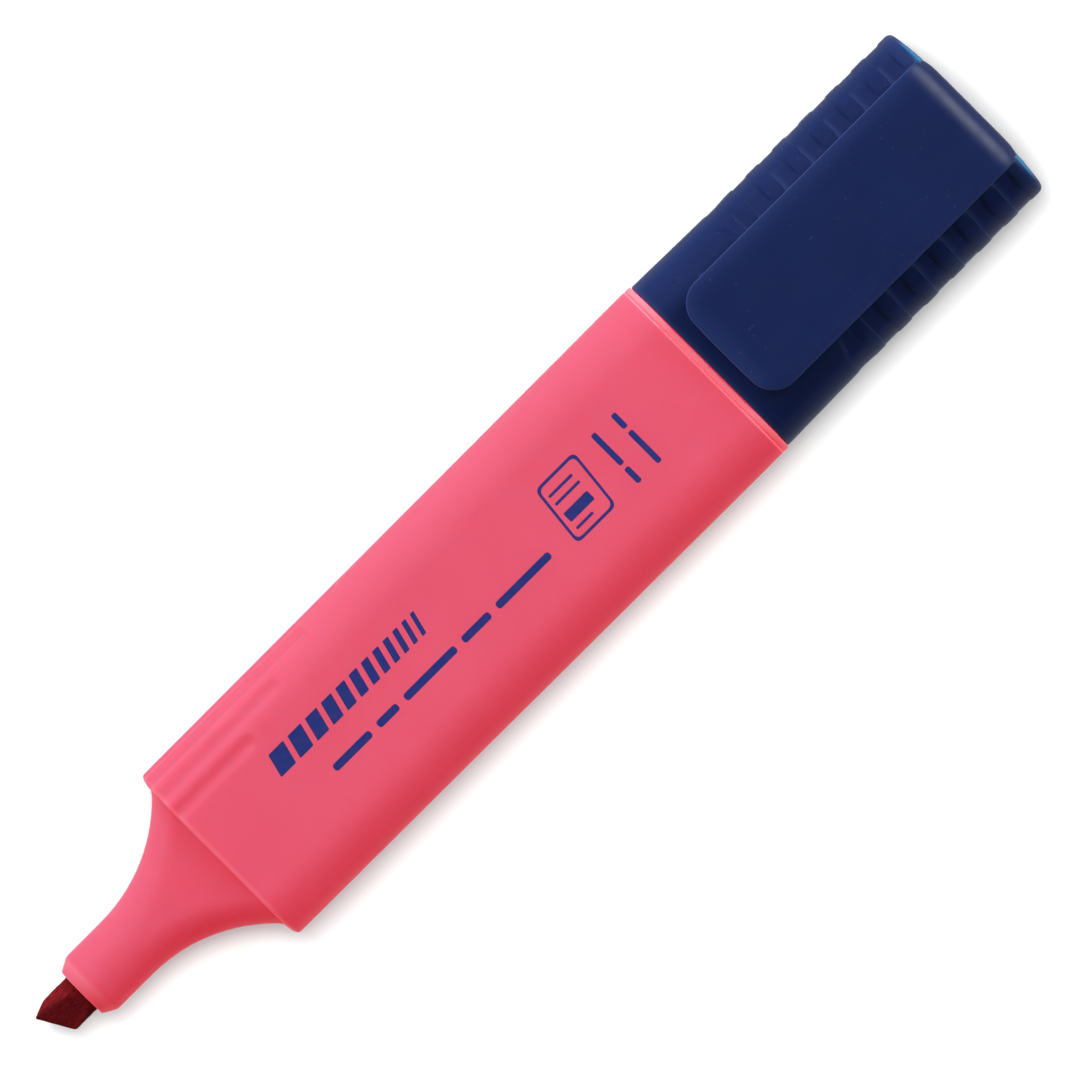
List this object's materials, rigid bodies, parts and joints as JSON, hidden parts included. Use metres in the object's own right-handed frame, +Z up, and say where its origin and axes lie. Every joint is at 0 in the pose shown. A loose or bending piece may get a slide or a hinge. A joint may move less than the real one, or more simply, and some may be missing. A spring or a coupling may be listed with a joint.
{
  "type": "highlighter",
  "caption": "Flat highlighter pen with a slanted chisel nib, grip flutes on one narrow side, and a ribbed clip cap posted on its rear end.",
  "frame": {"origin": "on the resting surface, under the middle of the overall length", "axes": "+X along the pen from the nib to the cap, +Y to the narrow side with the grip flutes, +Z up through the clip"},
  "size_m": [0.1576, 0.0272, 0.0188],
  "materials": {
    "body_plastic": "coral pink moulded polypropylene, satin gloss",
    "cap_plastic": "navy blue moulded polypropylene, satin with a fine grain",
    "nib_fibre": "bonded fibre soaked with ink",
    "core_fibre": "bonded fibre core filled with ink",
    "core_film": "thin clear film"
  },
  "bodies": {
    "pen": {"barrel": "body_plastic", "nose_section": "body_plastic", "nib": "nib_fibre", "rear_plug": "body_plastic", "ink_reservoir": "core_fibre", "reservoir_film": "core_film"},
    "cap": {"cap_shell": "cap_plastic", "inner_cap": "cap_plastic"},
    "clip": {"cap_clip": "cap_plastic"}
  },
  "joints": [
    {"name": "cap_pull", "type": "slide", "parent": "pen", "child": "cap", "axis": [1, 0, 0], "range_m": [0, 0.02]},
    {"name": "clip_flex", "type": "hinge", "parent": "cap", "child": "clip", "pos_m": [0.07618, 0, 0.0162], "axis": [0, 1, 0], "range_deg": [0, 4], "stiffness_Nm_per_rad": 0.95}
  ]
}
